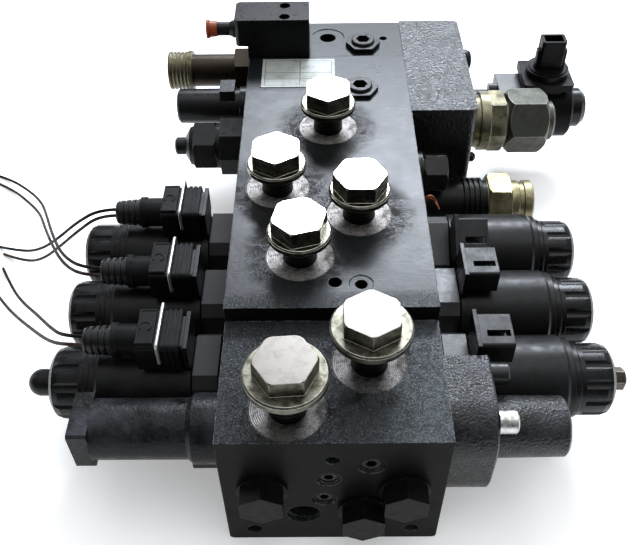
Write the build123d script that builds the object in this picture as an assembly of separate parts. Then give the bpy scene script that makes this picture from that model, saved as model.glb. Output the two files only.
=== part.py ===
from build123d import *
import math
import os

# Proportional hydraulic valve block: one machined body with three spool sections, a solenoid on
# each end of every spool, plugged service ports on top and cartridges, fittings and castings
# on both sides. Millimetres, +Z up, +X right, -Y towards the front face.
# The origin is the centre of the body's underside.

os.makedirs("parts", exist_ok=True)

# ---------------------------------------------------------------- driving dimensions
BODY_WIDTH = 100.0
BODY_LENGTH = 330.0
BODY_HEIGHT = 94.4
STEP_LENGTH = 66.0            # the front of the body is lower over this length
STEP_DROP = 9.2
SIDE = BODY_WIDTH / 2         # distance from the centre plane to each side face
LOW_TOP = BODY_HEIGHT - STEP_DROP
TRIM_DROP = 0.8               # shallow milled step at the rear of the top face
TRIM_START = 283.0

SPOOL_PITCH = 45.0
FIRST_SPOOL = 61.0            # front face to the front spool
SPOOL_HEIGHT = 45.0
SPOOL_RADIUS = 9.0
SPOOL_CLEARANCE = 0.03
SPOOL_HALF = 41.0
CHAMBER_RADIUS = 12.0

COIL_RADIUS = 22.0
COIL_START = 66.0
COIL_END = 116.0
BASE_HALF_WIDTH = 17.0
BASE_HALF_HEIGHT = 21.0
TUBE_RADIUS = 9.5
NUT_RADIUS = 18.0
NUT_END = 137.0
ARMATURE_RADIUS = 7.5

HEADER_BOTTOM = 26.0          # heights of the cable socket above the spool axis
HEADER_TOP = 39.5
PLUG_AXIS = 33.0
REAR_COIL_TURN = 32.0         # the right rear solenoid leans this many degrees to the front

HEX_ACROSS = 24.0
PORT_RADIUS = 8.3
THREAD_GAP = 0.1              # radial gap left between a plain shank and its plain hole
BALANCER_Y = 25.5             # pressure balancer bore, across the front of the body
BALANCER_Z = 57.5
BALANCER_RADIUS = 8.0

WIRE_DIAMETER = 1.8
WIRE_FLOOR = WIRE_DIAMETER / 2 + 0.05

# Service ports: centre across the body, distance from the front face, hexagon turn in degrees
UPPER_PORTS = [(0.0, 206.0, 30.0), (-27.5, 152.0, 30.0), (15.0, 130.5, 0.0), (-15.0, 100.0, 16.0)]
LOWER_PORTS = [(16.5, 41.6, 30.0), (-19.5, 17.6, 4.0)]
FRONT_PLUGS = [(-31.7, 48.0), (31.7, 48.0), (13.5, 30.0)]
FRONT_SOCKETS = [(16.2, 66.6, 4.6), (-2.2, 55.5, 4.0), (-4.0, 38.0, 4.0)]
TOP_SOCKETS = [(24.0, 297.0), (20.0, 244.0)]
MOUNT_HOLES_X = 37.3
MOUNT_HOLES_Z = 9.4
MOUNT_HOLE_RADIUS = 3.4
COVER_BOLTS = [(42.0, 75.5), (16.5, 75.0), (35.5, 33.0)]
MANIFOLD_SCREWS = [(-26.5, 299.5), (-26.5, 285.5)]

# Axes of the pieces on the side faces: distance from the front face, height
RELIEF = (241.0, 55.0)
CARTRIDGE = (280.0, 59.0)
SIDE_FITTING = (313.0, 66.0)
SIDE_PLUG = (200.0, 65.0)
PRESSURE = (204.0, 37.0)
OUTLET = (260.0, 59.0)
SOLENOID_VALVE = (298.0, 43.0)


# ---------------------------------------------------------------- helpers
def from_front(distance):
    """Y of a point that lies this far behind the front face."""
    return distance - BODY_LENGTH / 2


def block(x0, x1, y0, y1, z0, z1):
    middle = Pos((x0 + x1) / 2, (y0 + y1) / 2, (z0 + z1) / 2)
    return middle * Box(x1 - x0, y1 - y0, z1 - z0)


def rod_x(x0, x1, radius, y=0.0, z=0.0):
    return Pos((x0 + x1) / 2, y, z) * Rot(0, 90, 0) * Cylinder(radius, x1 - x0)


def rod_y(y0, y1, radius, x=0.0, z=0.0):
    return Pos(x, (y0 + y1) / 2, z) * Rot(90, 0, 0) * Cylinder(radius, y1 - y0)


def rod_z(z0, z1, radius, x=0.0, y=0.0):
    return Pos(x, y, (z0 + z1) / 2) * Cylinder(radius, z1 - z0)


def hexagon(length, across, turn=0.0):
    """Hexagonal prism along +Z from the origin."""
    corner = across / math.sqrt(3)
    return extrude(Rot(0, 0, turn) * RegularPolygon(corner, 6), length)


def hex_x(x0, x1, across, y=0.0, z=0.0, turn=0.0):
    return Pos(x0, y, z) * Rot(0, 90, 0) * hexagon(x1 - x0, across, turn)


def turned(outline):
    """Solid of revolution about the X axis; the outline is a list of (x, radius)."""
    return revolve(make_face(Polyline(*outline, close=True)), Axis.X)


def turned_hex(x0, x1, across, turn=0.0, bevel=1.2):
    """Hexagonal prism along X whose corners are turned down at both ends."""
    corner = across / math.sqrt(3)
    envelope = turned([
        (x0, 0), (x0, corner - bevel), (x0 + bevel, corner + 0.2),
        (x1 - bevel, corner + 0.2), (x1, corner - bevel), (x1, 0),
    ])
    return hex_x(x0, x1, across, turn=turn) & envelope


def outward(solid, side, y, z):
    """Put a piece drawn along +X on the right (1) or left (-1) of the body."""
    return Pos(0, y, z) * Rot(0, 0, 0 if side > 0 else 180) * solid


def coil_spring(x0, x1, mean_radius, wire_radius, turns):
    path = Helix((x1 - x0) / turns, x1 - x0, mean_radius)
    section = Plane(origin=path @ 0, z_dir=path % 0) * Circle(wire_radius)
    return Pos(x0, 0, 0) * Rot(0, 90, 0) * sweep(section, path=path, is_frenet=True)


def save(name, *solids):
    """Write one node; several separate solids may share it."""
    export_step(Compound(label=name, children=[s for s in solids]), "parts/" + name + ".step")


def section_y(index):
    """Y of spool section 1 (rear), 2 or 3 (front)."""
    return from_front(FIRST_SPOOL + SPOOL_PITCH * (3 - index))


# ---------------------------------------------------------------- valve body
def port_bore(x, distance, top):
    y = from_front(distance)
    return rod_z(top - 22, top + 1, PORT_RADIUS, x, y) + rod_z(top - 0.4, top + 1, 17.0, x, y)


def valve_body():
    front = from_front(0)
    rear = from_front(BODY_LENGTH)
    body = block(-SIDE, SIDE, front, rear, 0, BODY_HEIGHT)
    body -= block(-SIDE - 1, SIDE + 1, front - 1, from_front(STEP_LENGTH), LOW_TOP, BODY_HEIGHT + 1)
    rear_edge = body.edges().filter_by(Axis.X).group_by(Axis.Y)[-1].sort_by(Axis.Z)[-1]
    body = chamfer(rear_edge, 4.0)
    lower_edges = body.edges().filter_by(Axis.Y).group_by(Axis.Z)[0]
    body = fillet(lower_edges, 2.5)
    body -= block(-11, SIDE + 1, from_front(TRIM_START), rear + 1, BODY_HEIGHT - TRIM_DROP, BODY_HEIGHT + 1)

    # spool bores, their spring chambers and the drilled ways between them
    for index in (1, 2, 3):
        y = section_y(index)
        body -= rod_x(-SIDE - 1, SIDE + 1, SPOOL_RADIUS, y, SPOOL_HEIGHT)
        for side in (-1, 1):
            ends = sorted((side * SPOOL_HALF, side * (SIDE + 1)))
            body -= rod_x(*ends, CHAMBER_RADIUS, y, SPOOL_HEIGHT)
    for x in (-36.0, 36.0):
        body -= rod_y(front + 5, from_front(300), 4.0, x, 44.0)
    body -= rod_y(front + 5, from_front(280), 6.0, 12.3, 32.0)
    for x, distance, turn in UPPER_PORTS:
        body -= port_bore(x, distance, BODY_HEIGHT)
    for x, distance, turn in LOWER_PORTS:
        body -= port_bore(x, distance, LOW_TOP)
    body -= rod_z(32, BODY_HEIGHT - 20, 5.0, 0, from_front(206))
    body -= rod_x(0, 12.3, 3.0, from_front(206), 33.0)
    body -= rod_z(45, BODY_HEIGHT - 20, 4.0, -26, from_front(151))
    body -= rod_z(45, BODY_HEIGHT - 20, 4.5, -15, from_front(102))
    body -= rod_z(50, BODY_HEIGHT - 20, 4.5, 15, from_front(130.5))
    body -= rod_y(from_front(130.5), from_front(146), 4.5, 15, 50.0)
    body -= rod_z(45, LOW_TOP - 20, 4.5, 16.5, from_front(41.6))
    body -= rod_y(from_front(41.6), from_front(56), 4.5, 16.5, 45.0)
    body -= rod_z(BALANCER_Z, LOW_TOP - 20, 4.0, -19.5, from_front(20))
    body -= rod_x(-SIDE - 1, SIDE + 1, BALANCER_RADIUS, from_front(BALANCER_Y), BALANCER_Z)
    body -= rod_z(32, BALANCER_Z, 3.0, 12.3, from_front(BALANCER_Y))

    # threads in the front face
    for x, z in FRONT_PLUGS:
        body -= rod_y(front - 1, front + 10, 6.5, x, z)
    for x, z, radius in FRONT_SOCKETS:
        body -= rod_y(front - 1, front + 9, radius, x, z)
        body -= rod_y(front - 1, front + 0.6, radius + 1.6, x, z)
    body -= rod_y(front - 1, front + 9, 3.0, -0.5, 71.5)
    body -= rod_y(front - 1, front + 2, 7.8, -13.6, 24.0)
    body -= rod_y(front - 1, front + 15, 6.6, -13.6, 24.0)
    for x in (-MOUNT_HOLES_X, MOUNT_HOLES_X):
        body -= rod_y(front - 1, front + 18, MOUNT_HOLE_RADIUS, x, MOUNT_HOLES_Z)

    # threads in the top face
    for x, distance in TOP_SOCKETS:
        body -= rod_z(BODY_HEIGHT - 12, BODY_HEIGHT + 1, 6.5, x, from_front(distance))
    for x, distance in MANIFOLD_SCREWS:
        body -= rod_z(BODY_HEIGHT - 10, BODY_HEIGHT + 1, 2.0, x, from_front(distance))
    body -= rod_z(BODY_HEIGHT - 16, BODY_HEIGHT + 1, 5.35, 1.0, from_front(308))
    body -= rod_z(BODY_HEIGHT - TRIM_DROP - 0.5, BODY_HEIGHT + 1, 11.0, 1.0, from_front(308))
    body -= rod_z(BODY_HEIGHT - 8, BODY_HEIGHT + 1, 2.5, 38.0, from_front(306))
    body -= rod_z(BODY_HEIGHT - 8, BODY_HEIGHT + 1, 3.0, 14.2, from_front(81))
    body -= rod_z(BODY_HEIGHT - 0.5, BODY_HEIGHT + 1, 5.8, 14.2, from_front(81))
    body -= rod_z(BODY_HEIGHT - 8, BODY_HEIGHT + 1, 3.3, 1.8, from_front(82))

    # threads in the side faces
    body -= rod_x(-SIDE - 1, -30, 12.0, from_front(RELIEF[0]), RELIEF[1])
    body -= rod_x(-30, 12.3, 3.5, from_front(RELIEF[0]), 50.0)
    body -= rod_z(32, 50, 3.0, 12.3, from_front(RELIEF[0]))
    body -= rod_x(-SIDE - 1, -34, 9.0, from_front(CARTRIDGE[0]), CARTRIDGE[1])
    body -= rod_x(-SIDE - 1, -38, 8.0, from_front(SIDE_FITTING[0]), SIDE_FITTING[1])
    body -= rod_x(40, SIDE + 1, 8.0, from_front(SIDE_PLUG[0]), SIDE_PLUG[1])
    body -= rod_x(0, 40, 4.0, from_front(SIDE_PLUG[0]), SIDE_PLUG[1])
    body -= rod_x(41, SIDE + 1, 10.0, from_front(PRESSURE[0]), PRESSURE[1])
    body -= rod_x(12.3, 42, 4.0, from_front(PRESSURE[0]), 33.0)
    body -= rod_x(30, SIDE + 1, 6.0, from_front(OUTLET[0]), OUTLET[1])
    for distance, z in COVER_BOLTS:
        body -= rod_x(41, SIDE + 1, 3.0, from_front(distance), z)
    save("valve_body", body)


# ---------------------------------------------------------------- spools and solenoids
def spool():
    """Four lands, three grooves and a round nose at each end, centred on the origin."""
    land = SPOOL_RADIUS - SPOOL_CLEARANCE
    half = [
        (0, 5.5), (5, 5.5), (6, land), (9, land), (9, 6.0), (19, 6.0), (20, land), (23, land),
        (23, 6.0), (31, 6.0), (32, land), (SPOOL_HALF, land), (SPOOL_HALF, 5.0), (45, 5.0), (45, 0),
    ]
    right = turned([(0, 0)] + half)
    return right + Rot(0, 0, 180) * right


def armature():
    pin = rod_x(45, 72, 2.5)
    plunger = turned([
        (72, 0), (72, 6.8), (72.7, ARMATURE_RADIUS - SPOOL_CLEARANCE),
        (107.3, ARMATURE_RADIUS - SPOOL_CLEARANCE), (108, 6.8), (108, 0),
    ])
    return pin + plunger - rod_x(72.5, 109, 1.2, 0, 4.6)


def solenoid_tube():
    """Chamfered base block, neck, pressure tube and its end, bored for the armature."""
    neck = rod_x(SIDE, 54, 16.0)
    base = block(54, COIL_START, -BASE_HALF_WIDTH, BASE_HALF_WIDTH, -BASE_HALF_HEIGHT, BASE_HALF_HEIGHT)
    base = chamfer(base.edges().filter_by(Axis.X), 5.0)
    tube = rod_x(COIL_START, 131.5, TUBE_RADIUS) + rod_x(131.5, 134, 6.7)
    hollow = rod_x(SIDE - 1, 53, 12.0) + rod_x(53, 68, 3.0)
    hollow += rod_x(67.5, 116.5, ARMATURE_RADIUS) + rod_x(116, 135, 2.5)
    return neck + base + tube - hollow


def coil(with_window):
    """Moulded coil with the socket for its cable plug on top, mouth outwards."""
    shell = turned([
        (COIL_START, TUBE_RADIUS + 0.15), (COIL_START, 20.8), (COIL_START + 1.2, COIL_RADIUS),
        (111.8, COIL_RADIUS), (113.4, 20.8), (COIL_END, 20.8), (COIL_END, TUBE_RADIUS + 0.15),
    ])
    shell += block(COIL_START + 0.4, 69.6, -8.5, 8.5, 20, HEADER_BOTTOM + 1)
    header = block(COIL_START + 0.4, 84, -10, 10, HEADER_BOTTOM, HEADER_TOP)
    header = fillet(header.edges().filter_by(Axis.X), 1.6)
    header += block(COIL_START + 0.4, COIL_START + 2.4, -11.2, 11.2, HEADER_BOTTOM, HEADER_TOP + 1.1)
    header -= block(69, 85, -8.4, 8.4, HEADER_BOTTOM + 1.6, HEADER_TOP - 1.6)
    if with_window:
        header -= block(71.8, 82.6, -4.4, -0.8, HEADER_TOP - 2.5, HEADER_TOP + 1)
    for y in (-2.6, 2.6):
        header += block(68.5, 80, y - 1.4, y + 1.4, 32.6, 33.4)
    return shell + header


def coil_nut():
    """Scalloped nut that holds the coil on its tube."""
    nut = turned([
        (COIL_END, TUBE_RADIUS + 0.15), (COIL_END, 17.6), (COIL_END + 0.8, 18.8), (119, 18.8), (119.6, NUT_RADIUS),
        (132, NUT_RADIUS), (135, 17.0), (NUT_END, 14.5), (NUT_END, 7.1), (131.6, 7.1), (131.6, TUBE_RADIUS + 0.15),
    ])
    count = 12
    for k in range(count):
        angle = 2 * math.pi * (k + 0.5) / count
        nut -= rod_x(122, NUT_END + 1, 3.4, 20.3 * math.cos(angle), 20.3 * math.sin(angle))
    return nut


def cable_plug():
    """Sealed two-pole plug pushed over the coil's socket."""
    shell = block(70, 90, -12, 12, 24.4, 41.6)
    shell = fillet(shell.edges().filter_by(Axis.X), 2.2)
    for x in (70.3, 72.8, 75.3):
        shell += fillet(block(x, x + 1.3, -12.5, 12.5, 23.8, 42.2).edges().filter_by(Axis.X), 2.4)
    shell += block(81.8, 90, -10.5, 10.5, 41, 43.0)
    sleeve = turned([(89, 0), (89, 7.8), (99.6, 7.8), (99.6, 8.5), (102.5, 8.5), (102.5, 0)])
    shell += Pos(0, 0, PLUG_AXIS) * sleeve
    shell -= block(69, 84.6, -10.25, 10.25, HEADER_BOTTOM - 0.25, HEADER_TOP + 0.25)
    shell -= rod_x(96, 103, 5.4, 0, PLUG_AXIS)
    for side in (-1, 1):
        inner, outer = sorted((side * 10.2, side * 13))
        shell -= block(78.2, 80.6, inner, outer, 28.6, 33.0)
    # the shroud is open underneath at its mouth, over the socket's foot
    shell -= block(69, 71.0, -8.8, 8.8, 23, HEADER_BOTTOM)
    return shell


def plug_boot():
    """Ribbed rubber boot behind the plug, with two wires through its end."""
    outline = [(96.2, 0), (96.2, 5.25), (102.5, 5.25), (102.5, 7.4)]
    x = 102.5
    for k in range(4):
        outline += [(x + 1.7, 7.4 - 0.25 * k), (x + 1.9, 6.3 - 0.2 * k), (x + 2.9, 6.3 - 0.2 * k)]
        x += 3.1
        outline += [(x, 7.15 - 0.25 * k)]
    outline += [(116, 5.8), (116, 0)]
    return turned(outline)


def wire_bail():
    """Spring wire clip that latches the plug on its socket; pressed down to release."""
    foot, leg, low, high = 10.9, 13.2, 31.5, 44.4
    points = [
        (79.4, foot, low), (79.4, leg, low), (79.4, leg, high),
        (79.4, -leg, high), (79.4, -leg, low), (79.4, -foot, low),
    ]
    path = FilletPolyline(*points, radius=1.3)
    return sweep(Plane(origin=path @ 0, z_dir=path % 0) * Circle(0.8), path=path)


def sections():
    tubes, nuts, boots = [], [], []
    tube = solenoid_tube()
    nut = coil_nut()
    for index in (1, 2, 3):
        y = section_y(index)
        save(f"spool_{index}", Pos(0, y, SPOOL_HEIGHT) * spool())
        save(f"armatures_{index}", *[outward(armature(), side, y, SPOOL_HEIGHT) for side in (-1, 1)])
        spring = coil_spring(42.2, 51.8, 9.9, 0.9, 4)
        save(f"centring_springs_{index}", *[outward(spring, side, y, SPOOL_HEIGHT) for side in (-1, 1)])
        save(f"coil_left_{index}", outward(coil(False), -1, y, SPOOL_HEIGHT))
        lean = Rot(REAR_COIL_TURN if index == 1 else 0, 0, 0)
        save(f"coil_right_{index}", outward(lean * coil(True), 1, y, SPOOL_HEIGHT))
        save(f"cable_plug_{index}", outward(cable_plug(), -1, y, SPOOL_HEIGHT))
        save(f"wire_bail_{index}", outward(wire_bail(), -1, y, SPOOL_HEIGHT))
        boots.append(outward(plug_boot(), -1, y, SPOOL_HEIGHT + PLUG_AXIS))
        for side in (-1, 1):
            tubes.append(outward(lean * tube if side > 0 else tube, side, y, SPOOL_HEIGHT))
            nuts.append(outward(nut, side, y, SPOOL_HEIGHT))
    save("solenoid_tubes", *tubes)
    save("coil_nuts", *nuts)
    save("plug_boots", *boots)

    # manual overrides of the front section: a push pin on the right, a rubber dome on the left
    y = section_y(3)
    head = turned([(139, 0), (139, 6.2), (140.2, 6.2), (140.2, 0)])
    head += hex_x(140.2, 145.2, 10.0) + turned([(145.2, 0), (145.2, 4.6), (146.4, 3.0), (146.4, 0)])
    save("override_pin", outward(head + rod_x(118, 139, 2.44), 1, y, SPOOL_HEIGHT))
    dome = revolve(make_face(
        Line((137.3, 0), (137.3, 6.8)) + Line((137.3, 6.8), (144.5, 6.8))
        + CenterArc((144.5, 0), 6.8, 0, 90) + Line((151.3, 0), (137.3, 0))
    ), Axis.X)
    dome += rod_x(118, 138, 2.44)
    save("override_dome", outward(dome, -1, y, SPOOL_HEIGHT))


# ---------------------------------------------------------------- plugs
def port_plug(neck, flange_radius, flange_bottom, flange_top, hex_top, turn):
    """Hexagon-head plug drawn from the surface it screws into."""
    plug = rod_z(-neck, flange_bottom, PORT_RADIUS - THREAD_GAP)
    flange = rod_z(flange_bottom, flange_top, flange_radius)
    flange = chamfer(flange.edges().group_by(Axis.Z)[-1], 0.8)
    head = hexagon(hex_top - flange_top, HEX_ACROSS, turn)
    corner = HEX_ACROSS / math.sqrt(3)
    cone = Pos(0, 0, (hex_top - flange_top) / 2) * Cylinder(corner - 0.1, hex_top - flange_top)
    head = head & chamfer(cone.edges().group_by(Axis.Z)[-1], 0.7)
    return plug + flange + Pos(0, 0, flange_top) * head


def plugs():
    upper = [
        Pos(x, from_front(distance), BODY_HEIGHT) * port_plug(20, 15.5, 14.2, 17.4, 26.4, turn)
        for x, distance, turn in UPPER_PORTS
    ]
    lower = [
        Pos(x, from_front(distance), LOW_TOP) * port_plug(17, 18.0, 21.8, 25.4, 33.6, turn)
        for x, distance, turn in LOWER_PORTS
    ]
    save("port_plugs", *upper, *lower)

    front = from_front(0)
    heads = []
    for x, z in FRONT_PLUGS:
        head = rod_y(front - 2, front, 11.4, x, z) + rod_y(front, front + 9, 6.5 - THREAD_GAP, x, z)
        head += Pos(x, front - 2, z) * Rot(90, 0, 0) * hexagon(9, 19.0, 30)
        heads.append(head)
    save("front_plugs", *heads)

    sockets = []
    for x, distance in TOP_SOCKETS:
        floor = BODY_HEIGHT - (TRIM_DROP if distance > TRIM_START else 0)
        plug = rod_z(BODY_HEIGHT - 11, floor, 6.5 - THREAD_GAP)
        collar = rod_z(floor, BODY_HEIGHT + 2.4, 11.2)
        plug += Pos(0, 0, floor) * hexagon(BODY_HEIGHT + 2.4 - floor, 20.0) & collar
        plug += chamfer(rod_z(floor, BODY_HEIGHT + 4.2, 7.6).edges().group_by(Axis.Z)[-1], 0.8)
        plug -= Pos(0, 0, BODY_HEIGHT - 2) * hexagon(8, 8.0)
        sockets.append(Pos(x, from_front(distance), 0) * plug)
    for x, z, radius in FRONT_SOCKETS:
        screw = rod_y(front + 1.2, front + 9, radius - THREAD_GAP)
        screw -= Pos(0, front + 5, 0) * Rot(90, 0, 0) * hexagon(5, radius)
        sockets.append(Pos(x, 0, z) * screw)
    save("socket_plugs", *sockets)


# ---------------------------------------------------------------- pieces on top at the rear
def rear_top():
    left, right, high = -58.0, -11.0, 121.0
    y0, y1 = from_front(281), from_front(305)
    manifold = block(left, right, y0, y1, BODY_HEIGHT, high)
    manifold = chamfer(manifold.edges().filter_by(Axis.Z).group_by(Axis.X)[0], 2.0)
    manifold -= block(left - 1, -SIDE - 0.5, y0 - 1, y1 + 1, BODY_HEIGHT - 1, 103)
    screws = []
    for x, distance in MANIFOLD_SCREWS:
        y = from_front(distance)
        manifold -= rod_z(BODY_HEIGHT - 1, high + 1, 2.0, x, y)
        manifold -= rod_z(high - 7, high + 1, 3.35, x, y)
        screw = rod_z(BODY_HEIGHT - 9, high - 7, 1.9, x, y) + rod_z(high - 7, high - 3.5, 3.2, x, y)
        screws.append(screw - Pos(x, y, high - 5.5) * hexagon(3, 3.0))
    nipple_y, nipple_z = from_front(291), 110.0
    manifold -= rod_x(left - 1, left + 10, 3.0, nipple_y, nipple_z)
    save("manifold_block", manifold)

    nipple = turned([
        (48.5, 0), (48.5, 2.9), (58, 2.9), (58, 5.6), (59.5, 5.6), (62, 4.3), (70, 4.3), (70, 0),
    ]) - rod_x(60, 71, 1.5)
    save("bleed_nipple", outward(nipple, -1, nipple_y, nipple_z))
    dust = turned([(70, 0), (70, 4.8), (74.5, 5.1), (75.4, 5.9), (76.8, 5.9), (76.8, 0)])
    save("dust_plug", outward(dust, -1, nipple_y, nipple_z))
    save("label_plate", block(-41, 5, from_front(247), from_front(279), BODY_HEIGHT, BODY_HEIGHT + 0.4))
    return screws


# ---------------------------------------------------------------- inlet housing and its fittings
HOUSING_FACE = 90.0


def inlet_housing(screws):
    housing = block(SIDE, HOUSING_FACE, from_front(222), from_front(328), 22, BODY_HEIGHT - 0.3)
    housing = fillet(housing.edges().filter_by(Axis.Z).group_by(Axis.X)[-1], 4.0)
    housing = fillet(housing.edges().filter_by(Axis.X).group_by(Axis.Z)[0], 8.0)
    housing -= rod_x(70, 91, 13.0, from_front(OUTLET[0]), OUTLET[1])
    housing -= rod_x(SIDE - 1, 70, 6.0, from_front(OUTLET[0]), OUTLET[1])
    housing -= rod_x(64, 91, 10.0, from_front(SOLENOID_VALVE[0]), SOLENOID_VALVE[1])
    housing -= rod_y(from_front(OUTLET[0]), from_front(SOLENOID_VALVE[0]), 4.0, 66, 51.0)
    round_y, round_z = from_front(297), 82.0
    small_y, small_z = from_front(240), 45.0
    housing -= rod_x(74, 91, 3.0, round_y, round_z)
    housing -= rod_x(78, 91, 2.0, small_y, small_z)
    save("inlet_housing", housing)

    screw = turned([
        (75, 0), (75, 2.9), (90, 2.9), (90, 7.0), (93.5, 7.0), (96, 5.6), (97, 3.2), (97, 0),
    ]) - hex_x(94, 98, 4.0)
    knob = turned([(79, 0), (79, 1.9), (90, 1.9), (90, 3.2), (95, 3.2), (96.6, 1.8), (96.6, 0)])
    save("cap_screws", *screws, outward(screw, 1, round_y, round_z), outward(knob, 1, small_y, small_z))

    # outlet adapter and the union nut of the removed pipe, with the pipe's cut ring inside
    adapter = turned([
        (71, 0), (71, 12.9), (90, 12.9), (90, 17.0), (99, 17.0), (99, 19.0), (105, 19.0),
        (105, 16.0), (115, 16.0), (115, 13.8), (125, 13.8), (125, 0),
    ])
    adapter += turned_hex(105, 115, 34.0, 25)
    adapter -= rod_x(70, 126, 8.0)
    save("outlet_adapter", outward(adapter, 1, from_front(OUTLET[0]), OUTLET[1]))
    union = turned_hex(117, 142, 36.0, 25, 3.0)
    union -= rod_x(116, 127, 14.0)
    union -= rod_x(126, 143, 11.0)
    ring = turned([(127.5, 8.5), (127.5, 10.8), (142, 10.8), (142, 12.6), (146.4, 12.6), (147.4, 11.6), (147.4, 8.5)])
    save("union_nut", *[outward(piece, 1, from_front(OUTLET[0]), OUTLET[1]) for piece in (union, ring)])


def solenoid_valve():
    """Screw-in valve behind the outlet, with its own coil and upright plug socket."""
    y, z = from_front(SOLENOID_VALVE[0]), SOLENOID_VALVE[1]
    stem = turned([(66, 0), (66, 9.9), (90, 9.9), (90, 13.0), (112, 13.0), (112, 10.0), (118, 10.0), (118, 0)])
    stem += rod_x(112, 118.5, 4.0, 0, 15.5)
    stem += chamfer(block(118, 139, -14, 14, -18, 20).edges().filter_by(Axis.X), 1.5)
    stem += rod_x(139, 168, 8.0)
    stem -= rod_x(136, 164, 6.0)
    save("cartridge_valve", outward(stem, 1, y, z))
    save("cartridge_armature", outward(rod_x(140, 160.5, 5.96), 1, y, z))

    body = turned([
        (139, 8.2), (139, 18.8), (140.2, 20.0), (167.6, 20.0), (169, 18.6), (169, 8.2),
    ])
    body += block(141, 160, -10, 10, 15, 24)
    plate = fillet(block(133, 166, -16, 16, 23, 28).edges().filter_by(Axis.Z), 2.0)
    disc = rod_z(28, 32.5, 14.0, 150) + rod_z(32.4, 33.4, 12.6, 150)
    tower = block(142, 158, -5.5, 5.5, 33, 54)
    tower = fillet(tower.edges().filter_by(Axis.Z), 1.6)
    tower += block(140.2, 159.8, -3.4, 0.8, 33, 47)
    tower -= block(144, 156, -3.9, 3.9, 42, 55)
    for x in (146.5, 150.0, 153.5):
        tower += block(x - 0.6, x + 0.6, -1.6, 1.6, 41, 50)
    save("cartridge_coil", outward(body + plate + disc + tower, 1, y, z))

    nut = turned([(169, 8.0), (169, 13.5), (176.5, 13.5), (180, 10.5), (180, 0), (168, 0), (168, 8.0)])
    save("cartridge_nut", outward(nut, 1, y, z))


def right_plugs():
    plug = rod_x(40.5, SIDE, 8.0 - THREAD_GAP) + turned([(50, 0), (50, 12.6), (56, 12.6), (56, 10), (57, 10), (57, 0)])
    plug += turned_hex(57, 71, 21.0, 0, 1.5)
    save("side_plug", outward(plug, 1, from_front(SIDE_PLUG[0]), SIDE_PLUG[1]))
    outline = [(41.2, 0), (41.2, 9.9), (50, 9.9), (50, 14.0), (84, 14.0)]
    for k in range(4):
        x = 84 + 3.2 * k
        outline += [(x, 15.5), (x + 1.8, 15.5), (x + 1.8, 14.0), (x + 3.2, 14.0)]
    outline += [(99, 14.0), (99, 14.5), (113, 14.5), (113, 13.6), (118, 13.6), (118.6, 12.8), (121, 12.8)]
    outline += [(121.6, 13.8), (126, 13.8), (127, 12.8), (127, 0)]
    fitting = turned(outline)
    fitting += turned_hex(99, 113, 32.0, 30, 1.6)
    fitting -= rod_x(40, 110, 5.0)
    save("pressure_fitting", outward(fitting, 1, from_front(PRESSURE[0]), PRESSURE[1]))


# ---------------------------------------------------------------- left rear pieces
def left_rear():
    y, z = from_front(RELIEF[0]), RELIEF[1]
    octagon = extrude(RegularPolygon(19.3, 8, rotation=9.0), 18)
    valve = rod_x(31, 50, 12.0 - THREAD_GAP) + Pos(50, 0, 0) * Rot(0, 90, 0) * octagon
    valve += turned([(68, 0), (68, 14.5), (71, 14.5), (71, 0)])
    valve += turned_hex(71, 85, 28.6, 8, 1.2)
    valve += turned([(85, 0), (85, 13.0), (88, 12.0), (91, 7.0), (91, 0)])
    valve -= rod_x(34, 58, 6.0)
    valve -= rod_x(30, 35, 3.4)
    valve -= rod_x(57, 92, 3.0)
    save("relief_valve", outward(valve, -1, y, z))
    poppet = turned([(34.3, 0), (34.3, 2.6), (37.5, 5.95), (52, 5.95), (52, 0)])
    save("relief_poppet", outward(poppet, -1, y, z))
    screw = rod_x(60, 91, 3.0 - THREAD_GAP) + turned([(91, 0), (91, 5.6), (97, 5.6), (98, 4.6), (98, 0)])
    screw -= hex_x(94.5, 99, 4.0)
    save("relief_adjuster", outward(screw, -1, y, z))

    black = turned([
        (35, 0), (35, 8.9), (50, 8.9), (50, 12.8), (58, 12.8), (58, 11.5), (98.6, 11.5), (100, 10.2), (100, 0),
    ])
    black += block(61, 71, -6.5, 7.5, 8, 16)
    black -= rod_x(66, 77, 3.0, 0, 0)
    save("side_cartridge", outward(black, -1, from_front(CARTRIDGE[0]), CARTRIDGE[1]))

    outline = [(39, 0), (39, 7.9), (50, 7.9), (50, 11.0), (92.5, 11.0), (92.5, 13.4), (95.5, 13.4)]
    x = 95.5
    for k in range(5):
        outline += [(x, 11.9), (x + 0.9, 11.9), (x + 1.3, 13.0), (x + 2.2, 13.0)]
        x += 2.6
    outline += [(109, 12.6), (109, 0)]
    fitting = turned(outline) + turned_hex(SIDE, 63, 27.0, 10, 1.0)
    fitting -= rod_x(60, 110, 8.0) + rod_x(38, 61, 4.0)
    save("side_fitting", outward(fitting, -1, from_front(SIDE_FITTING[0]), SIDE_FITTING[1]))


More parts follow.
